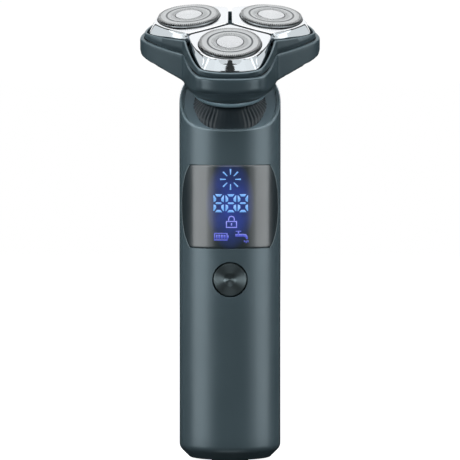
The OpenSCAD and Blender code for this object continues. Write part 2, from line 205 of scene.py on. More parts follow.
def polar(points, centre=(0, 0)):
    """Radius of a closed outline as a function of the angle round a centre inside it."""
    pts = np.array(points, float) - np.array(centre)
    share = np.linspace(0, 1, 24, endpoint=False)[:, None]
    dense = np.concatenate([pts[i] + (pts[(i + 1) % len(pts)] - pts[i]) * share
                            for i in range(len(pts))])
    angle = np.arctan2(dense[:, 1], dense[:, 0])
    order = np.argsort(angle)
    angle, radius = angle[order], np.hypot(dense[:, 0], dense[:, 1])[order]
    return lambda a: np.interp((np.asarray(a) + math.pi) % (2 * math.pi) - math.pi, angle, radius,
                               period=2 * math.pi)


def turned(p, angle):
    c, s = math.cos(angle), math.sin(angle)
    return (p[0] * c - p[1] * s, p[0] * s + p[1] * c)


def both_sides(half):
    return [(x, -y) for x, y in half[:0:-1]] + list(half)


def lobed(half, soft, waist):
    """Smooth outline of all three lobes, the first towards -Y; waist softens the inner corners."""
    one = both_sides(half)[1:]
    radii = ([soft] * (len(one) - 1) + [waist]) * 3
    return rounded([turned(p, math.radians(120 * k - 90)) for k in range(3) for p in one], radii)


def slab(x0, x1, y0, y1, z0, z1):
    """Corner points and faces of a block."""
    verts = [(x, y, z) for x in (x0, x1) for y in (y0, y1) for z in (z0, z1)]
    faces = [(0, 1, 3, 2), (4, 6, 7, 5), (0, 4, 5, 1), (2, 3, 7, 6), (0, 2, 6, 4), (1, 5, 7, 3)]
    return verts, faces


def joined(parts):
    """One list of points and faces from several."""
    verts, faces = [], []
    for v, f in parts:
        faces += [tuple(i + len(verts) for i in face) for face in f]
        verts += v
    return verts, faces


# ---------------------------------------------------------------- shading
def srgb(r, g, b):
    """Linear colour from an 8-bit display colour."""
    return tuple((c / 255 / 12.92) if c <= 10 else ((c / 255 + 0.055) / 1.055) ** 2.4
                 for c in (r, g, b)) + (1.0,)


class Shader:
    """A Principled material with short names for the nodes used again and again."""

    def __init__(self, name, colour, metallic=0.0, roughness=0.4, **sockets):
        self.mat = bpy.data.materials.new(name)
        self.mat.use_nodes = True
        self.tree = self.mat.node_tree
        self.bsdf = self.tree.nodes["Principled BSDF"]
        self.colour, self.rough = colour, roughness
        self.set("Base Color", colour)
        self.set("Metallic", metallic)
        self.set("Roughness", roughness)
        for key, value in sockets.items():
            self.set(key.replace("_", " "), value)
        self.normal = None

    def set(self, socket, value):
        self.bsdf.inputs[socket].default_value = value

    def link(self, source, socket):
        self.tree.links.new(source, self.bsdf.inputs[socket])

    def node(self, kind, *inputs, **settings):
        n = self.tree.nodes.new(kind)
        for key, value in settings.items():
            setattr(n, key, value)
        for slot, value in zip(n.inputs, inputs):
            if value is None:
                continue
            if isinstance(value, bpy.types.NodeSocket):
                self.tree.links.new(value, slot)
            else:
                slot.default_value = value
        return n

    def math(self, operation, *inputs):
        return self.node("ShaderNodeMath", *inputs, operation=operation).outputs[0]

    def coords(self):
        return self.node("ShaderNodeTexCoord").outputs["Object"]

    def axes(self):
        return self.node("ShaderNodeSeparateXYZ", self.coords()).outputs

    def noise(self, scale, detail=2.0, stretch=(1, 1, 1)):
        where = self.coords()
        if stretch != (1, 1, 1):
            where = self.node("ShaderNodeMapping", where, None, None, stretch).outputs[0]
        n = self.node("ShaderNodeTexNoise")
        self.tree.links.new(where, n.inputs["Vector"])
        n.inputs["Scale"].default_value = scale
        n.inputs["Detail"].default_value = detail
        return n.outputs["Fac"]

    def line_noise(self, along, scale, detail=2.0):
        """Noise that changes with one number only."""
        n = self.node("ShaderNodeTexNoise", noise_dimensions="1D")
        self.tree.links.new(along, n.inputs["W"])
        n.inputs["Scale"].default_value = scale
        n.inputs["Detail"].default_value = detail
        return n.outputs["Fac"]

    def spread(self, value, low, high, start=0.3, end=0.7):
        """Value between start and end, mapped to low .. high."""
        n = self.node("ShaderNodeMapRange", value, start, end, low, high)
        return n.outputs[0]

    def vary_roughness(self, value, amount):
        self.link(self.spread(value, self.rough - amount, self.rough + amount), "Roughness")
        return self

    def vary_colour(self, value, other, low=0.3, high=0.7):
        """The base colour turns towards another colour where value is high."""
        mix = self.node("ShaderNodeMix", data_type="RGBA")
        self.tree.links.new(self.spread(value, 0, 1, low, high), mix.inputs["Factor"])
        mix.inputs[6].default_value = self.colour
        mix.inputs[7].default_value = other
        self.link(mix.outputs[2], "Base Color")
        return self

    def bump(self, height, depth_mm, strength=1.0):
        n = self.node("ShaderNodeBump")
        n.inputs["Strength"].default_value = strength
        n.inputs["Distance"].default_value = depth_mm * MM
        self.tree.links.new(height, n.inputs["Height"])
        if self.normal is not None:
            self.tree.links.new(self.normal, n.inputs["Normal"])
        self.normal = n.outputs[0]
        self.link(self.normal, "Normal")
        return self


def satin_paint(name, colour, roughness):
    s = Shader(name, colour, 0.35, roughness, Coat_Weight=0.18, Coat_Roughness=0.3, Specular_IOR_Level=0.45)
    s.vary_colour(s.noise(30, 3), tuple(c * 1.12 for c in colour[:3]) + (1,))
    s.vary_roughness(s.noise(55, 4), 0.03)
    s.bump(s.noise(5200, 1), 0.004, 0.35)
    s.bump(s.noise(900, 2), 0.003, 0.25)
    return s.mat


def smoked_lens():
    s = Shader("smoked_lens", srgb(34, 43, 47), 0.0, 0.3, Coat_Weight=0.75, Coat_Roughness=0.2,
               Specular_IOR_Level=0.75)
    s.vary_roughness(s.noise(140, 4), 0.02)
    # deep blue glow of the display behind the lens, strongest around its middle
    x, _, z = s.axes()
    across = s.math("MULTIPLY", x, 1 / 0.0084)
    up = s.math("MULTIPLY", s.math("SUBTRACT", z, 0.0876), 1 / 0.0155)
    away = s.math("ADD", s.math("POWER", across, 2), s.math("POWER", up, 2))
    glow = s.spread(away, 1, 0, 0.0, 1.0)
    patch = s.math("MULTIPLY", glow, s.spread(s.noise(210, 2), 0.55, 1.0))
    s.link(s.math("MULTIPLY", patch, 0.3), "Emission Strength")
    s.set("Emission Color", srgb(70, 100, 250))
    return s.mat


def lit(name, colour, strength):
    s = Shader(name, srgb(30, 40, 90), 0.0, 0.15, Emission_Color=colour)
    s.link(s.math("MULTIPLY", s.spread(s.noise(900, 2), 0.86, 1.0), strength), "Emission Strength")
    return s.mat


def moulded(name, colour, roughness, grain=0.006, scale=2600, **sockets):
    s = Shader(name, colour, 0.0, roughness, **sockets)
    s.vary_roughness(s.noise(75, 3), 0.05)
    s.bump(s.noise(scale, 2), grain, 0.5)
    return s.mat


def chrome():
    s = Shader("chrome", (0.86, 0.885, 0.91, 1), 1.0, 0.075)
    smear = s.noise(60, 5, (1, 2.2, 1))
    s.vary_roughness(smear, 0.03)
    s.bump(s.noise(190, 2), 0.006, 0.15)
    return s.mat


def axis_distance(s):
    """Distance from the piece's own Z axis, in metres."""
    x, y, _ = s.axes()
    return s.math("SQRT", s.math("ADD", s.math("POWER", x, 2), s.math("POWER", y, 2)))


def turned_metal(name, colour, roughness, groove_mm=0.25, depth=0.01, anisotropy=0.75, **sockets):
    """Metal cut on a lathe about its own Z: fine rings and a bow-tie reflection."""
    s = Shader(name, colour, 0.9, roughness, Anisotropic=anisotropy, **sockets)
    s.tree.links.new(s.node("ShaderNodeTangent", direction_type="RADIAL", axis="Z").outputs[0],
                     s.bsdf.inputs["Tangent"])
    r = axis_distance(s)
    rings = s.line_noise(r, 1000 / groove_mm, 3)
    s.vary_roughness(s.noise(160, 3), 0.04)
    s.bump(rings, depth, 0.4)
    return s.mat


def foil_steel():
    s = Shader("foil_steel", (0.58, 0.6, 0.61, 1), 1.0, 0.3)
    r = axis_distance(s)
    rings = s.line_noise(r, 4200, 2)
    s.vary_roughness(s.noise(260, 3), 0.05)
    # painted shade: the groove between the two tracks is darkened in colour, standing in for the shadow of a
    # deeper groove
    groove = s.math("ABSOLUTE", s.math("SUBTRACT", r, 0.00748))
    s.vary_colour(s.spread(groove, 0, 1, 0.00042, 0.00022), (0.12, 0.13, 0.14, 1), 0, 1)
    s.bump(rings, 0.003, 0.15)
    return s.mat


def brushed(name, colour, roughness, stretch=(1, 12, 1)):
    s = Shader(name, colour, 1.0, roughness)
    lines = s.noise(900, 4, stretch)
    s.vary_roughness(lines, 0.06)
    s.bump(lines, 0.004, 0.4)
    return s.mat


def circuit_board():
    s = Shader("board", srgb(18, 74, 44), 0.0, 0.34, Coat_Weight=0.4, Coat_Roughness=0.15)
    s.vary_colour(s.noise(700, 1, (1, 1, 0.25)), srgb(30, 104, 62), 0.5, 0.54)
    s.bump(s.noise(700, 1, (1, 1, 0.25)), 0.02, 0.4)
    return s.mat


def wrapped_cell():
    s = Shader("battery_wrap", srgb(34, 84, 150), 0.0, 0.24, Coat_Weight=0.3, Coat_Roughness=0.1)
    s.vary_colour(s.noise(40, 3), srgb(28, 70, 130))
    s.bump(s.noise(260, 3, (1, 1, 0.3)), 0.02, 0.5)
    return s.mat


def copper():
    s = Shader("copper", (0.78, 0.42, 0.24, 1), 1.0, 0.3)
    x, y, z = s.axes()
    turns = s.line_noise(z, 2400, 1)
    s.vary_colour(s.noise(120, 3), (0.55, 0.27, 0.15, 1))
    s.bump(turns, 0.05, 0.6)
    return s.mat


MATERIALS = {
    "shell_paint": satin_paint("shell_paint", srgb(67, 81, 87), 0.35),
    "head_paint": satin_paint("head_paint", srgb(60, 74, 80), 0.35),
    "smoked_lens": smoked_lens(),
    "light_mask": moulded("light_mask", srgb(20, 22, 26), 0.5),
    "dark_plastic": moulded("dark_plastic", srgb(36, 46, 52), 0.5, Coat_Weight=0.1, Coat_Roughness=0.3),
    "black_plastic": moulded("black_plastic", srgb(24, 26, 28), 0.5),
    "rubber": moulded("rubber", srgb(27, 28, 29), 0.72, 0.012, 1500),
    "white_plastic": moulded("white_plastic", srgb(222, 221, 214), 0.36, Subsurface_Weight=0.05,
                             Subsurface_Scale=0.001),
    "chrome": chrome(),
    "foil_steel": foil_steel(),
    "steel": brushed("steel", (0.62, 0.64, 0.66, 1), 0.26),
    "spun_metal": turned_metal("spun_metal", srgb(112, 126, 130), 0.5, anisotropy=0.84,
                               Anisotropic_Rotation=0.25),
    "motor_steel": brushed("motor_steel", (0.56, 0.57, 0.58, 1), 0.32, (1, 1, 0.06)),
    "board": circuit_board(),
    "battery_wrap": wrapped_cell(),
    "copper": copper(),
}
DISC_METAL = turned_metal("disc_metal", (0.74, 0.76, 0.78, 1), 0.26, 0.3, 0.008, 0.6)
# painted highlight: light grey for the lens's side edges, in place of the light they catch
PAINTED_EDGE_HIGHLIGHT = moulded("painted_edge_highlight", srgb(120, 132, 136), 0.3)
# painted light: the ledge gets a lighter colour than the dark boot it is moulded with, standing in for the
# light it catches
LEDGE_PAINTED_LIGHT = satin_paint("ledge_painted_light", srgb(74, 90, 98), 0.4)
DIGIT_LIGHT = lit("digit_light", srgb(128, 190, 255), 0.92)
LOCK_LIGHT = lit("lock_light", srgb(150, 155, 255), 0.85)
ICON_LIGHT = lit("icon_light", srgb(104, 112, 232), 0.72)


# ---------------------------------------------------------------- handle
def scoop_z(y):
    """Height of the scooped top of the handle at a distance behind its axis."""
    cy, cz = SCOOP_C
    ty = cy + SCOOP_R * math.sin(SCOOP_SLOPE)
    tz = cz - SCOOP_R * math.cos(SCOOP_SLOPE)
    if y < ty:
        scoop = cz - math.sqrt(max(SCOOP_R ** 2 - (y - cy) ** 2, 0))
    else:
        scoop = tz + (y - ty) * math.tan(SCOOP_SLOPE)
    c, s = math.cos(HEAD_TILT), math.sin(HEAD_TILT)
    back = APEX.z / MM + (-RIM_BACK_D + s * (y - APEX.y / MM)) / c
    soft = 0.9
    return -soft * math.log(math.exp(-scoop / soft) + math.exp(-back / soft))


def window_edge_y(z, grow):
    """How far back the window's side edge lies at a height."""
    mid = (WINDOW_Z0 + WINDOW_Z1) / 2
    sag = math.sqrt(WINDOW_SIDE_R ** 2 - ((WINDOW_Z1 - WINDOW_Z0) / 2) ** 2)
    reach = math.sqrt((WINDOW_SIDE_R + grow) ** 2 - (z - mid) ** 2)
    return WINDOW_CORNER_Y + reach - sag


def window_angle(z, r, grow):
    z = min(max(z, WINDOW_Z0 - grow), WINDOW_Z1 + grow)
    return math.acos(-window_edge_y(z, grow) / r)


def on_wall(angle, r, z):
    return (r * math.sin(angle), -r * math.cos(angle), z)


def shell_wall(r, profile, lip):
    """One face of the handle's wall as a grid with the window and the button hole left open.

    Returns the points, the faces, and the point loops round the bottom, the top, the window and the hole."""
    step = math.radians(5)
    grow = 0.06
    block = 8.6
    rows = [("ring", rr, z) for rr, z in profile]
    first_block = len(rows)
    rows += [("wall", r, BUTTON_Z - block + block * k / 6) for k in range(13)]
    first_window = len(rows)
    rows += [("wall", r, WINDOW_Z0 - grow + (WINDOW_Z1 - WINDOW_Z0 + 2 * grow) * k / 24) for k in range(25)]
    last_window = len(rows) - 1
    rows += [("rise", r, k / 8) for k in range(1, 9)]
    rows += [("lip", rr, dz) for rr, dz in lip]
    verts, cols = [], None
    for kind, rr, z in rows:
        edge = window_angle(WINDOW_Z0 if kind != "wall" else z, r, grow)
        outer = [6 * step + (edge - 6 * step) * k / 6 for k in range(1, 7)]
        front = [-a for a in reversed(outer)] + [step * k for k in range(-6, 7)] + outer
        back = [edge + (2 * math.pi - 2 * edge) * k / 56 for k in range(1, 56)]
        angles = front + back
        cols = len(angles)
        for a in angles:
            if kind == "rise":
                top = scoop_z(-r * math.cos(a)) + lip[0][1]
                low = WINDOW_Z1 + grow
                verts.append(on_wall(a, rr, low + (top - low) * z * 0.999))
            elif kind == "lip":
                verts.append(on_wall(a, rr, scoop_z(-rr * math.cos(a)) + z))
            else:
                verts.append(on_wall(a, rr, z))
    n_front = 24
    hole_c0, hole_c1 = 6, 18
    faces = []
    for i in range(len(rows) - 1):
        for c in range(cols):
            in_window = first_window <= i < last_window and c < n_front
            in_block = first_block <= i < first_block + 12 and hole_c0 <= c < hole_c1
            if not in_window and not in_block:
                d = (c + 1) % cols
                faces.append((i * cols + c, i * cols + d, (i + 1) * cols + d, (i + 1) * cols + c))
    # square block of the grid round the button hole, blended to a circle
    square = [(first_block, c) for c in range(hole_c0, hole_c1)]
    square += [(first_block + k, hole_c1) for k in range(12)]
    square += [(first_block + 12, c) for c in range(hole_c1, hole_c0, -1)]
    square += [(first_block + k, hole_c0) for k in range(12, 0, -1)]
    ring = [i * cols + c for i, c in square]
    for t in (0.35, 0.7, 1.0):
        new = []
        for i, c in square:
            x, y, z = verts[i * cols + c]
            q = math.atan2(z - BUTTON_Z, x)
            x1 = x + ((BUTTON_R + 0.5) * math.cos(q) - x) * t
            z1 = z + (BUTTON_Z + (BUTTON_R + 0.5) * math.sin(q) - z) * t
            new.append(len(verts))
            verts.append((x1, -math.sqrt(r * r - x1 * x1), z1))
        faces += [(ring[k], ring[(k + 1) % 48], new[(k + 1) % 48], new[k]) for k in range(48)]
        ring = new
    window = [first_window * cols + c for c in range(n_front)]
    window += [(first_window + k) * cols + n_front for k in range(24)]
    window += [last_window * cols + c for c in range(n_front, 0, -1)]
    window += [(first_window + k) * cols for k in range(24, 0, -1)]
    last = (len(rows) - 1) * cols
    return verts, faces, [list(range(cols)), [last + c for c in range(cols)], window, ring]


def handle_shell():
    low = rounded([(13.55, BASE_Z), (BODY_R - CHAMFER, BASE_Z), (BODY_R, BASE_Z + CHAMFER), (BODY_R, 9)],
                  [0, 0.25, 1.3, 0], closed=False)
    low += [(BODY_R, z) for z in (16, 26, 36, 46)]
    half = RIM_W / 2
    lip = [(BODY_R, -0.75), (BODY_R - 0.05, -0.48), (BODY_R - 0.2, -0.22), (BODY_R - 0.42, -0.06),
           (BODY_R - half, 0)]
    outer, faces, loops = shell_wall(BODY_R, low, lip)
    low_in = [(13.55, 1.6), (13.6, 3.6), (14.2, 4.2), (14.8, 4.8), (SHELL_IN_R, 5.6)]
    low_in += [(SHELL_IN_R, 7 + 3 * k) for k in range(len(low) - 5)]
    inner_r = BODY_R - RIM_W
    lip_in = [(inner_r, -0.75), (inner_r + 0.05, -0.48), (inner_r + 0.2, -0.22), (inner_r + 0.42, -0.06),
              (inner_r + half, 0)]
    inner, faces_in, loops_in = shell_wall(SHELL_IN_R, low_in, lip_in)
    n = len(outer)
    faces = faces + [tuple(i + n for i in reversed(f)) for f in faces_in]
    for a, b in zip(loops, loops_in):
        faces += [(a[k], a[(k + 1) % len(a)], b[(k + 1) % len(a)] + n, b[k] + n) for k in range(len(a))]
    piece("handle_shell_skin", outer + inner, faces, MATERIALS["shell_paint"], "handle", "shell_paint",
          replaces=["handle_shell"], bevel=0.22)


def display_lens():
    rows, cols = 40, 48

    def sheet(r, inset):
        out = []
        for i in range(rows + 1):
            z = WINDOW_Z0 + inset + (WINDOW_Z1 - WINDOW_Z0 - 2 * inset) * i / rows
            edge = window_angle(z, r, 0) - inset / r
            out += [on_wall(edge * (2 * c / cols - 1), r, z) for c in range(cols + 1)]
        return out

    w = cols + 1
    grid = [(i * w + c, i * w + c + 1, (i + 1) * w + c + 1, (i + 1) * w + c)
            for i in range(rows) for c in range(cols)]
    border = list(range(w)) + [i * w + cols for i in range(1, rows + 1)]
    border += [rows * w + c for c in range(cols - 1, -1, -1)] + [i * w for i in range(rows - 1, 0, -1)]
    sheets = [sheet(BODY_R, 0.3), sheet(BODY_R - 0.1, 0.09), sheet(BODY_R - 0.32, 0.0),
              sheet(BODY_R - 1.3, 0.0)]
    n = len(sheets[0])
    verts = [p for s in sheets for p in s]
    faces = list(grid) + [tuple(i + 3 * n for i in reversed(f)) for f in grid]
    for k in range(3):
        faces += [(a + k * n, b + k * n, b + (k + 1) * n, a + (k + 1) * n)
                  for a, b in zip(border, border[1:] + border[:1])]
    # points inside the middle sheets carry no faces
    used = sorted({i for f in faces for i in f})
    index = {old: new for new, old in enumerate(used)}
    piece("display_lens_glass", [verts[i] for i in used], [tuple(index[i] for i in f) for f in faces],
          MATERIALS["smoked_lens"], "handle", "smoked_lens", replaces=["display_lens"], sharp=50)


def lens_edges():
    """Light strips along the side edges of the display window: a painted highlight in place of the light
    their bevels catch.
    """
    parts = []
    for side in (-1, 1):
        verts = []
        for z in np.linspace(WINDOW_Z0 + 0.35, WINDOW_Z1 - 0.35, 40):
            edge = window_angle(z, BODY_R, 0)
            for angle, r in ((edge - 0.012, BODY_R + 0.005), (edge + 0.006, BODY_R + 0.005),
                             (edge + 0.006, BODY_R - 0.4), (edge - 0.012, BODY_R - 0.4)):
                verts.append(on_wall(side * angle, r, z))
        faces = ring_faces(40, 4) + [(3, 2, 1, 0), (156, 157, 158, 159)]
        parts.append((verts, faces))
    verts, faces = joined(parts)
    piece("display_lens_edges", verts, faces, PAINTED_EDGE_HIGHLIGHT, "handle", "smoked_lens", sharp=30)


def power_button():
    face, dimple_c, dimple_r = 16.9, 19.8, 3.6
    dish = [(dimple_r * math.sin(a), dimple_c - dimple_r * math.cos(a))
            for a in np.linspace(0.62, 0.02, 12)]
    profile = [(0.01, 13.2), (BUTTON_R + 0.8, 13.2), (BUTTON_R + 0.8, 13.9), (BUTTON_R, 13.9)]
    profile += [(BUTTON_R, face - 0.16), (BUTTON_R - 0.05, face - 0.05), (BUTTON_R - 0.16, face)]
    # shallow turned grooves on the face
    for k, r in enumerate(np.arange(BUTTON_R - 0.4, 2.4, -0.26)):
        profile.append((r, face - (0.03 if k % 2 else 0.0)))
    profile += [(2.22, face - 0.02)] + dish
    matrix = Matrix.Translation((0, 0, BUTTON_Z * MM)) @ Matrix.Rotation(math.radians(90), 4, "X")
    lathe("power_button_turned", profile, MATERIALS["spun_metal"], "button", "spun_metal", matrix, cols=96,
          replaces=["power_button"], sharp=60, local=True)


def top_cover():
    """Cover in the scooped rim, rising as a ribbed cone to the neck."""
    ribs, per = 52, 7
    cols = ribs * per
    turn = HEAD.inverted()

    def in_head(p):
        return turn @ (Vector(p) * MM) / MM

    def column(k):
        a = 2 * math.pi * k / cols
        s, c = math.sin(a), math.cos(a)
        edge_r = SHELL_IN_R - 0.15
        rim = Vector((edge_r * s, -edge_r * c, scoop_z(-edge_r * c) - 0.9))
        ledge_r = edge_r - (1.5 + 2.0 * s * s)
        ledge = Vector((ledge_r * s, -ledge_r * c, scoop_z(-ledge_r * c) - 0.95))
        front = (1 + c) / 2
        depth = 28.2 + 3.0 * front - 0.4 * math.sin(math.pi * front)
        knee = HEAD @ (Vector((14 * s, -14 * c, -depth)) * MM) / MM
        neck = HEAD @ (Vector((9.9 * s, -9.9 * c, -BOOT_D)) * MM) / MM
        bore = HEAD @ (Vector((8.7 * s, -8.7 * c, -BOOT_D - 0.05)) * MM) / MM
        under = HEAD @ (Vector((8.7 * s, -8.7 * c, -BOOT_D - 5)) * MM) / MM
        path = [under, bore, neck]
        rib = 0.42 * min(max((abs(s) - 0.3) / 0.22, 0.06), 1)
        for t in np.linspace(0.08, 1, 13):
            p = neck * (1 - t) ** 2 + knee * 2 * t * (1 - t) + ledge * t * t
            q = in_head(p)
            out = Vector((q.x, q.y, 0)).normalized()
            wave = 0.5 + 0.5 * math.cos(2 * math.pi * k / per)
            # the ribs start and end softly along the cone
            along = min(t * 1.35, 1 if t < 0.74 else (1 - t) / 0.35)
            grow = rib * (wave ** 0.7 - 1) * math.sin(math.pi * along) ** 0.5 if t < 0.99 else 0
            q += (out * 0.7 + Vector((0, 0, 0.7))) * grow
            path.append(HEAD @ (q * MM) / MM)
        deep = Vector((ledge.x, ledge.y, ledge.z - 3))
        inside = Vector((rim.x * 0.8, rim.y * 0.8, ledge.z - 4))
        ledge_rim.append([rim, ledge + Vector((0, 0, 0.03)), Vector((ledge.x, ledge.y, ledge.z - 1.2)),
                          Vector((rim.x, rim.y, rim.z - 3))])
        return path + [deep, inside]

    ledge_rim = []
    columns = [column(k) for k in range(cols)]
    rings = [[tuple(col[i]) for col in columns] for i in range(len(columns[0]))]
    rings_piece("neck_boot", rings, MATERIALS["dark_plastic"], "handle", "dark_plastic",
                replaces=["top_cover"], sharp=50)
    rings = [[tuple(col[i]) for col in ledge_rim] for i in range(4)]
    # the ledge takes the lighter colour: painted light where it catches the light
    rings_piece("cover_ledge", rings, LEDGE_PAINTED_LIGHT, "handle", "dark_plastic", sharp=40)


# ---------------------------------------------------------------- head
def neck_collar():
    profile = rounded([(9, -CHAMBER_END_D), (12.55, -CHAMBER_END_D), (12.55, -25.5), (11.75, -COLLAR_END_D),
                       (9, -COLLAR_END_D)], [0.1, 0.2, 0.5, 0.5, 0.1])
    lathe("neck_collar_turned", profile, MATERIALS["head_paint"], "head", "head_paint", HEAD,
          replaces=["neck_collar"], sharp=45)


def chamber_body():
    outline = polar(lobed(HOUSING, 2.6, 1.2))
    cols = 288
    angles = np.linspace(0, 2 * math.pi, cols, endpoint=False)
    wide = outline(angles)
    # revolved profile below the upright band, (radius, depth)
    funnel = rounded([(32, BAND_D), (30.7, 13.6), (28.4, 14.3), (22.9, 15.65), (18.2, 17.5), (16.2, 20),
                      (15.2, 22.4), (13.2, CHAMBER_END_D)],
                      [0.1, 0.5, 1.0, 2.0, 1.6, 1.0, 0.8, 0.2], closed=False)
    depth_of, radius_of = [d for r, d in funnel], [r for r, d in funnel]
    rings = []

    def ring(radius, depth):
        rings.append([(float(r) * math.cos(a), float(r) * math.sin(a), -depth)
                      for r, a in zip(radius, angles)])

    def soft_min(a, b):
        return (a ** -60.0 + b ** -60.0) ** (-1 / 60)

    top = PART_D + 0.05
    for inset, depth in ((0.55, top), (0.2, top + 0.06), (0.05, top + 0.22), (0.0, top + 0.5),
                         (0.0, 9.5), (0.0, 11.4),
                         (0.0, 12.2)):
        ring(wide - inset, depth)
    for depth in [12.5] + list(depth_of[1:]):
        ring(soft_min(wide, np.full(cols, np.interp(depth, depth_of, radius_of))), depth)
    ring(np.full(cols, 9.1), CHAMBER_END_D)
    ring(np.full(cols, 9.1), 21.8)
    ring(np.full(cols, 13.6), 21.7)
    for radius, depth in ((14.7, 19.6), (16.6, 16.7), (20.6, 14.9), (27.5, 13.1)):
        ring(soft_min(wide - 1.4, np.full(cols, radius)), depth)
    ring(wide - 1.3, top)
    rings_piece("chamber_shell", rings, MATERIALS["head_paint"], "head", "head_paint", matrix=HEAD,
                replaces=["chamber_body"], sharp=40)


def upper_frame():
    outline = polar(lobed(FRAME_EDGE, 2.4, 1.0))
    cols = 288
    angles = np.linspace(0, 2 * math.pi, cols, endpoint=False)
    wide = outline(angles)

    def plane(r, a):
        """Height of the frame's upper edge, the lowest of the three tilted planes."""
        reach = [r * math.cos(a - math.radians(120 * k - 90)) for k in range(3)]
        return min(-u * math.tan(EDGE_TILT) - EDGE_D / math.cos(EDGE_TILT) for u in reach)

    low = -PART_D + 0.05
    steps = [(0.12, low, 0), (0.0, low + 0.14, 0), (0.0, 0.5, 1), (0.06, -0.2, 2), (0.25, -0.04, 2),
             (0.5, 0.0, 2),
             (0.85, -0.04, 2), (0.9, -0.3, 2), (0.9, low, 0)]
    rings = []
    for inset, z, mode in steps:
        row = []
        for w, a in zip(wide, angles):
            r = float(w) - inset
            top = plane(r, a)
            height = z if mode == 0 else (low + (top - low) * z if mode == 1 else top + z)
            row.append((r * math.cos(a), r * math.sin(a), height))
        rings.append(row)
    faces = ring_faces(len(rings), cols, True)
    parts = [([p for ring in rings for p in ring], faces)]
    hub = [[(r * math.cos(a), r * math.sin(a), z) for a in np.linspace(0, 2 * math.pi, 64, endpoint=False)]
           for r, z in ((0.05, low), (7.8, low), (7.8, -6.3), (7.6, -6.1), (0.05, -6.1))]
    parts.append(([p for ring in hub for p in ring], ring_faces(len(hub), 64, True)))
    for k in range(3):
        arm, arm_faces = slab(0, 17.4, -2, 2, low + 0.01, -6.11)
        parts.append(([turned(p[:2], math.radians(120 * k - 30)) + (p[2],) for p in arm], arm_faces))
        post, post_faces = slab(3.4, 5.4, -1.5, 1.5, -7.5, -2.05)
        parts.append(([turned(p[:2], math.radians(120 * k - 90)) + (p[2],) for p in post], post_faces))
    verts, faces = joined(parts)
    piece("frame_shell", verts, faces, MATERIALS["head_paint"], "blade_frame", "head_paint", HEAD,
          replaces=["upper_frame"], sharp=40, bevel=0.12)


CHROME_PARTS = []


def lobe_frame_piece(i):
    """Chrome plate of one lobe with its rounded edge and flared skirt."""
    centre = (FOIL_CENTRE_R, 0)
    tip = [(0.95, 0)]
    plate = tip + both_sides(PLATE)
    skirt = tip + both_sides(SKIRT)
    soft = [0.6, 0.9] + [2.2] * (len(PLATE) * 2 - 3) + [0.9]
    top = polar(rounded(plate, soft, 6), centre)
    low = polar(rounded(skirt, soft, 6), centre)
    cols = 216
    angles = np.linspace(0, 2 * math.pi, cols, endpoint=False)
    wide, flare = top(angles), low(angles)
    hole = 10.42
    rings = []

    def ring(radius, z):
        rings.append([(FOIL_CENTRE_R + float(r) * math.cos(a), float(r) * math.sin(a), z)
                      for r, a in zip(radius, angles)])

    def mix(t):
        return wide + (flare - wide) * t

    ring(np.full(cols, hole), -1.2)
    ring(np.full(cols, hole), -0.45)
    ring(np.full(cols, hole + 0.34), -0.45)
    ring(np.full(cols, hole + 0.36), -0.06)
    ring(np.full(cols, hole + 0.42), 0.0)
    ring(np.maximum(wide - 0.95, hole + 0.5), 0.0)
    for inset, z in ((0.62, -0.02), (0.3, -0.1), (0.05, -0.27), (-0.12, -0.5)):
        ring(np.maximum(wide - inset, hole + 0.55 + (0.95 - inset) * 0.3), z)
    for t in (0.2, 0.36, 0.52, 0.68, 0.84, 0.95):
        ring(np.maximum(mix(0.14 + 0.86 * t ** 1.1), hole + 0.9), -0.6 - (SKIRT_H - 0.75) * t)
    ring(np.maximum(flare - 0.02, hole + 0.9), -SKIRT_H + 0.12)
    ring(flare - 0.16, -SKIRT_H)
    ring(flare - 0.8, -SKIRT_H)
    ring(mix(0.5) - 1.0, -2.4)
    ring(wide - 1.3, -1.25)
    parts = [([p for ring in rings for p in ring], ring_faces(len(rings), cols, True))]
    for s in (-1, 1):
        parts.append(slab(3.2, 5.6, 2.8 * s - 0.9, 2.8 * s + 0.9, -4.2, -0.8))
    verts, faces = joined(parts)
    CHROME_PARTS.append(piece("lobe_plate_%d" % i, verts, faces, MATERIALS["chrome"], "lobe_%d" % i,
                              "chrome", lobe_frame(i), replaces=["lobe_frame_%d" % i], sharp=38))


def foil_cap(i):
    """Pierced foil: an inner and an outer track of radial slots, the outer ones running over the edge."""
    cols = 192
    p = FOIL_PROUD
    profile = [(4.8, p - 0.3), (4.8, p - 0.06), (4.9, p), (5.0, p), (6.2, p), (7.18, p), (7.3, p - 0.08),
               (7.62, p - 0.08), (7.74, p), (9.5, p), (9.95, p), (10.2, p - 0.03), (10.38, p - 0.14),
               (10.46, p - 0.35), (10.48, p - 0.62), (10.48, 0.06), (10.2, 0.06), (10.2, -2.1)]
    angles = np.linspace(0, 2 * math.pi, cols, endpoint=False)
    verts = [(r * math.cos(a), r * math.sin(a), z) for r, z in profile for a in angles]
    faces = []
    for row in range(len(profile) - 1):
        inner_slots = profile[row][0] == 5.0
        outer_slots = 9 <= row <= 12
        for c in range(cols):
            if (inner_slots and c % 3 == 0) or (outer_slots and c % 2 == 0):
                continue
            d = (c + 1) % cols
            faces.append((row * cols + c, row * cols + d, (row + 1) * cols + d, (row + 1) * cols + c))
    ob = piece("foil_%d" % i, verts, faces, MATERIALS["foil_steel"], "lobe_%d" % i, "foil_steel",
               foil_frame(i), replaces=["foil_cap_%d" % i], sharp=50, local=True)
    thick = ob.modifiers.new("thickness", "SOLIDIFY")
    thick.thickness = 0.1 * MM
    thick.offset = -1
    # painted shade: a black ring in the seat round the foil darkens the shadowed gap, drawn as a seal
    ring = rounded([(10.42, -0.5), (10.95, -0.5), (10.95, -0.12), (10.42, -0.12)], 0.05, 2)
    lathe("foil_seal_%d" % i, ring, MATERIALS["black_plastic"], "lobe_%d" % i, "black_plastic",
          foil_frame(i), cols=96)
    return ob


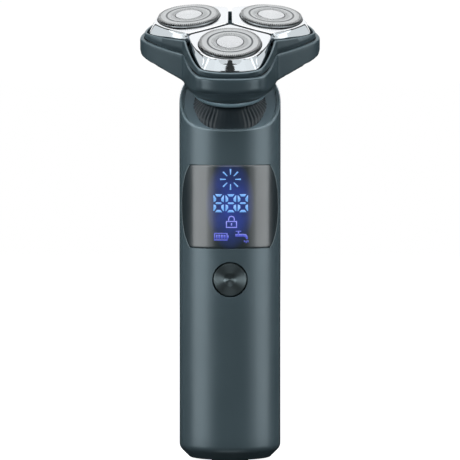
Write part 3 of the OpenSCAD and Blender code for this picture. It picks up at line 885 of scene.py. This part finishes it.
def foil_centre(i):
    p = FOIL_PROUD
    profile = [(0.01, p - 0.4), (4.5, p - 0.4), (4.5, p - 0.1), (4.42, p), (4.2, p + 0.03), (3.6, p + 0.1),
               (2.4, p + 0.16), (1.2, p + 0.19), (0.01, p + 0.2)]
    lathe("foil_disc_%d" % i, profile, DISC_METAL, "lobe_%d" % i, "foil_steel", foil_frame(i), cols=96,
          replaces=["foil_centre_%d" % i], sharp=60, local=True)


# ---------------------------------------------------------------- display symbols
# how far the drawn outlines are moved up on the lens, in mm
DIGITS_UP = 1.75
LOCK_UP, BATTERY_UP, TAP_UP = -0.65, -0.62, -0.45


def raised(outlines, lift=0.022, up=DIGITS_UP):
    """Points and faces of flat outlines (x, height), cut into narrow strips and wrapped onto the lens."""
    bm = bmesh.new()
    for outline in outlines:
        bm.faces.new([bm.verts.new((x, 0, z)) for x, z in outline])
    for x in np.arange(-7, 7, 0.35):
        bmesh.ops.bisect_plane(bm, geom=bm.verts[:] + bm.edges[:] + bm.faces[:], plane_co=(x, 0, 0),
                               plane_no=(1, 0, 0), dist=1e-5)
    bm.verts.index_update()
    verts = [on_wall(v.co.x / BODY_R, BODY_R + lift, v.co.z + up) for v in bm.verts]
    faces = [[v.index for v in f.verts] for f in bm.faces]
    bm.free()
    return verts, faces


def symbol(name, outlines, light, up=DIGITS_UP):
    verts, faces = raised(outlines, up=up)
    ob = piece(name, verts, faces, light, "handle", "light_mask", sharp=20)
    thick = ob.modifiers.new("thickness", "SOLIDIFY")
    thick.thickness = 0.04 * MM
    thick.offset = -1
    return ob


def bar(x0, x1, z0, z1):
    return [(x0, z0), (x1, z0), (x1, z1), (x0, z1)]


def stroke(points, width):
    """Outline of a thin line through points, as separate short bars with overlapping ends."""
    out = []
    for (x0, z0), (x1, z1) in zip(points, points[1:]):
        d = math.hypot(x1 - x0, z1 - z0)
        ux, uz = (x1 - x0) / d, (z1 - z0) / d
        nx, nz = -uz * width / 2, ux * width / 2
        x0e, z0e = x0 - ux * width / 3, z0 - uz * width / 3
        x1e, z1e = x1 + ux * width / 3, z1 + uz * width / 3
        out.append([(x0e + nx, z0e + nz), (x1e + nx, z1e + nz), (x1e - nx, z1e - nz), (x0e - nx, z0e - nz)])
    return out


def segment_digit(cx, cz, width, height, t):
    """The figure eight of a seven-segment display, with mitred segments."""
    x0, x1, z0, z1 = cx - width / 2, cx + width / 2, cz - height / 2, cz + height / 2
    g = 0.62
    out = [[(x0 + g, z), (x1 - g, z),
            (x1 - t - 0.15, z - s * (t - 0.3)), (x0 + t + 0.15, z - s * (t - 0.3))]
           for z, s in ((z1, 1), (z0, -1))]
    out.append([(x0 + g + 0.1, cz), (x0 + t, cz + 0.3), (x1 - t, cz + 0.3), (x1 - g - 0.1, cz),
                (x1 - t, cz - 0.3), (x0 + t, cz - 0.3)])
    for x, s in ((x0, 1), (x1, -1)):
        for z, u in ((z1, 1), (z0, -1)):
            out.append([(x, z - u * 0.35), (x + s * 0.35, z - u * 0.5),
                        (x + s * (t - 0.1), z - u * (t + 0.35)),
                        (x + s * (t - 0.2), cz + u * 0.72), (x + s * 0.1, cz + u * 0.36)])
    return out


def display_symbols():
    rays = []
    for k in range(8):
        a = math.radians(45 * k)
        c, s = math.cos(a), math.sin(a)
        mid = (0.17 + 2.55 * c, 94.3 + 2.55 * s)
        rays.append([(mid[0] + u * c * 0.98 - v * s * 0.27, mid[1] + u * s * 0.98 + v * c * 0.27)
                     for u, v in ((-1, -0.55), (1, -1), (1, 1), (-1, 0.55))])
    symbol("display_sun", rays, DIGIT_LIGHT)
    digits = []
    for cx in (-3.86, 0.29, 4.39):
        digits += segment_digit(cx, 86.25, 3.7, 6.1, 1.1)
    symbol("display_digits", digits, DIGIT_LIGHT)

    # padlock: a ring of bars for the body, an arched shackle, a keyhole
    w = 0.34
    lock = stroke([(-1.2, 80.5), (2.2, 80.5), (2.2, 82.5), (-1.2, 82.5), (-1.2, 80.5)], w)
    arch = [(-0.45, 82.6), (-0.45, 83.4), (-0.2, 84.0), (0.5, 84.25), (1.2, 84.0), (1.45, 83.4), (1.45, 82.6)]
    lock += stroke(arch, w) + [bar(0.28, 0.72, 81.1, 81.95)]
    symbol("display_lock", lock, LOCK_LIGHT, LOCK_UP)

    battery = stroke([(-5.3, 76.2), (-1.0, 76.2), (-1.0, 78.4), (-5.3, 78.4), (-5.3, 76.2)], 0.36)
    battery += [bar(-0.85, -0.45, 76.8, 77.8)]
    battery += [bar(x, x + 0.68, 76.62, 77.98) for x in (-4.88, -3.98, -3.08, -2.18)]
    symbol("display_battery", battery, ICON_LIGHT, BATTERY_UP)

    tap = [bar(1.8, 4.6, 77.2, 78.1), bar(2.6, 3.1, 78.1, 78.9), bar(1.9, 3.8, 78.8, 79.15)]
    tap += [[(4.5, 78.1), (4.6, 77.2), (5.3, 76.9), (5.5, 76.3), (6.2, 76.3), (6.0, 77.4), (5.5, 78.0)]]
    tap += [bar(5.35, 5.7, 75.0, 75.8), bar(6.0, 6.35, 75.2, 75.9), bar(4.75, 5.05, 75.3, 75.9)]
    symbol("display_tap", tap, ICON_LIGHT, TAP_UP)


# ---------------------------------------------------------------- the parts kept from the CAD model
def finish_cad_parts():
    """Procedural materials and softened edges on the CAD nodes that stay in view."""
    slots = {s["node"]: s["material_slot"] for s in frame["record"]["subparts"]}
    soft = {"bottom_cap": 0.25, "foot_pad": 0.2, "port_cover": 0.12, "charging_socket": 0.08, "chassis": 0.15,
            "battery_cell": 0.6, "motor_can": 0.6, "motor_mount": 0.2, "gear_cover": 0.12, "gear_base": 0.12,
            "chamber_seal": 0.15, "neck_stem": 0.15, "neck_yoke": 0.12, "gimbal_ring": 0.15,
            "lobe_pins": 0.12,
            "power_switch": 0.15, "main_board": 0.06, "charge_board": 0.06, "display_board": 0.06}
    for i in (1, 2, 3):
        soft.update({"cutter_%d" % i: 0.05, "retaining_ring_%d" % i: 0.1, "spindle_tip_%d" % i: 0.12,
                     "spindle_gear_%d" % i: 0.05})
    for name, ob in frame["nodes"].items():
        ob.data.materials.clear()
        ob.data.materials.append(MATERIALS[slots[name]])
        ob.data.shade_smooth()
        ob.data.set_sharp_from_angle(angle=math.radians(32))
        if name in soft and not ob.hide_render:
            mod = ob.modifiers.new("edges", "BEVEL")
            mod.width = soft[name] * MM
            mod.segments = 2
            mod.limit_method = "ANGLE"
            mod.angle_limit = math.radians(38)


# ---------------------------------------------------------------- stage, light and camera
def card(name, azimuth, elevation, distance, width, height, power, colour=(1, 1, 1), aim=(0, 0, 0.08),
         only=None, blockers=None):
    """Soft area light on a sphere round the shaver; azimuth 0 is in front, positive to the right.

    With only, the light falls on the pieces in that list and on nothing else.
    With blockers, only the pieces in that list cast shadows in it."""
    data = bpy.data.lights.new(name, "AREA")
    data.shape = "RECTANGLE"
    data.size, data.size_y = width, height
    data.energy = power
    data.color = colour
    ob = bpy.data.objects.new(name, data)
    bpy.context.scene.collection.objects.link(ob)
    a, e = math.radians(azimuth), math.radians(elevation)
    aim = Vector(aim)
    towards = Vector((math.sin(a) * math.cos(e), -math.cos(a) * math.cos(e), math.sin(e)))
    ob.location = aim + distance * towards
    ob.rotation_euler = (aim - ob.location).to_track_quat("-Z", "Y").to_euler()
    ob.visible_camera = False
    for parts, slot in ((only, "receiver_collection"), (blockers, "blocker_collection")):
        if parts is not None:
            group = bpy.data.collections.new(name)
            for part in parts:
                group.objects.link(part)
            setattr(ob.light_linking, slot, group)
    return ob


def panel(name, centre, size, radiance, colour, only):
    """Upright white panel facing the shaver that lights only the given pieces."""
    x, y = centre[:2]
    away = math.hypot(x, y)
    beside = abs(y) < abs(x) * 0.5
    ob = card(name, 0, 0, 1, size[0], size[1], radiance * math.pi * size[0] * size[1], colour, only=only)
    ob.location = centre
    facing = Vector((-x / away, -y / away, 0)) if beside else Vector((0, 1, 0))
    ob.rotation_euler = facing.to_track_quat("-Z", "Y").to_euler()
    return ob


def stage_panel(name, verts, colour, strength=0.0):
    mesh = bpy.data.meshes.new(name)
    mesh.from_pydata([tuple(v) for v in verts], [], [tuple(range(len(verts)))])
    mat = Shader(name, colour, 0.0, 0.8)
    if strength:
        mat.set("Emission Color", (1, 1, 1, 1))
        mat.set("Emission Strength", strength)
    mesh.materials.append(mat.mat)
    ob = bpy.data.objects.new(name, mesh)
    bpy.context.scene.collection.objects.link(ob)
    return ob


def studio():
    world = bpy.data.worlds.new("studio")
    bpy.context.scene.world = world
    world.use_nodes = True
    world.node_tree.nodes["Background"].inputs[0].default_value = (1, 1, 1, 1)
    world.node_tree.nodes["Background"].inputs[1].default_value = 1.02
    world.cycles_visibility.glossy = False
    world.cycles_visibility.diffuse = False
    world.cycles_visibility.transmission = False

    # groups of pieces that have lights of their own
    polished = [ob for ob in bpy.data.objects if ob in CHROME_PARTS or ob.name.startswith("foil")]
    dark = [ob for ob in bpy.data.objects if ob.type == "MESH" and ob not in polished]
    foils = [ob for ob in polished if ob not in CHROME_PARTS]
    button = [ob for ob in dark if ob.name.startswith("power_button")]
    matt = [ob for ob in dark if ob not in button]
    head = [ob for ob in dark if ob.name.startswith(("chamber", "upper_frame", "neck"))]
    collar = [ob for ob in dark if ob.name.startswith("neck_collar")]
    rim = [ob for ob in dark if ob.name.startswith(("handle_shell", "cover_ledge"))]
    cool = (0.96, 0.99, 1)
    card("left_box", -73, 20, 0.66, 0.52, 0.95, 4.3, cool, only=matt)
    card("left_soft", -48, 20, 0.68, 0.26, 0.95, 0.8, cool, only=matt)
    card("right_box", 79, 20, 0.66, 0.5, 0.95, 3.8, cool, only=matt)
    card("right_soft", 53, 20, 0.68, 0.24, 0.95, 0.6, cool, only=matt)
    card("front_fill", 0, 38, 1.2, 0.8, 0.4, 2.0, only=foils)
    card("front_soft", 0, 40, 1.2, 1.0, 0.5, 8.0, cool, only=matt)
    card("top_box", 0, 80, 0.5, 0.7, 0.5, 1.4, only=polished)
    card("top_soft", 0, 84, 0.5, 0.7, 0.5, 4.2, cool, only=matt)
    card("button_fill", 0, 36, 1.2, 0.8, 0.4, 2.2, only=button)
    card("base_fill", 0, -58, 0.6, 0.5, 0.2, 0.3, cool, (0, 0, 0), only=rim)
    card("rim_light", 180, 84, 0.5, 0.5, 0.4, 9.0, cool, only=rim, blockers=rim)
    card("back_box", 180, 40, 0.8, 1.3, 0.9, 3.9)
    for side in (-1, 1):
        card("under_fill", side * 38, -28, 0.8, 0.3, 0.3, 1.2, cool, only=head)
        card("collar_glint", side * 40, 12, 0.5, 0.2, 0.14, 5.0, cool, only=collar, blockers=collar)
        card("button_glint", side * 52, 0, 0.5, 0.22, 0.16, 0.85, only=button)
    # white panels that only the chrome reflects; the gap between them shows as the dark mark in front
    icy = (0.93, 0.98, 1)
    for side in (-1, 1):
        panel("low_panel", (side * 0.86, -0.7, -0.18), (1.52, 0.46), 0.72, icy, CHROME_PARTS)
        panel("high_panel", (side * 0.835, -0.7, 0.21), (1.56, 0.32), 0.9, icy, CHROME_PARTS)
        panel("upper_panel", (side * 0.8, -0.7, 0.62), (1.0, 0.5), 0.75, icy, CHROME_PARTS)
        panel("corner_panel", (side * 1.0, -0.36, 0.3), (0.7, 1.5), 0.7, icy, CHROME_PARTS)
        panel("side_panel", (side * 1.3, 0.4, 0.1), (1.4, 0.9), 0.75, icy, CHROME_PARTS)
    panel("gap_panel", (0, -0.8, 0.1), (0.6, 1.6), 0.035, icy, CHROME_PARTS)

    floor = stage_panel("floor", [(-3, -3, -0.0004), (3, -3, -0.0004), (3, 5, -0.0004), (-3, 5, -0.0004)],
                        (0.9, 0.9, 0.9, 1), 1.0)
    floor.visible_glossy = False
    floor.visible_diffuse = False
    floor.visible_shadow = False


def camera():
    data = bpy.data.cameras.new("camera")
    data.lens = 368
    data.sensor_width = 36
    ob = bpy.data.objects.new("camera", data)
    bpy.context.scene.collection.objects.link(ob)
    elevation, distance = math.radians(3.3), 1.6
    aim = Vector((0, 0, 0.078))
    ob.location = aim + distance * Vector((0, -math.cos(elevation), math.sin(elevation)))
    ob.rotation_euler = (aim - ob.location).to_track_quat("-Z", "Y").to_euler()
    data.clip_start, data.clip_end = 0.1, 20
    bpy.context.scene.camera = ob
    bpy.context.scene.view_settings.view_transform = "Standard"


def build():
    handle_shell()
    display_lens()
    lens_edges()
    display_symbols()
    power_button()
    top_cover()
    neck_collar()
    chamber_body()
    upper_frame()
    for i in (1, 2, 3):
        lobe_frame_piece(i)
        foil_cap(i)
        foil_centre(i)
    finish_cad_parts()


build()
studio()
camera()
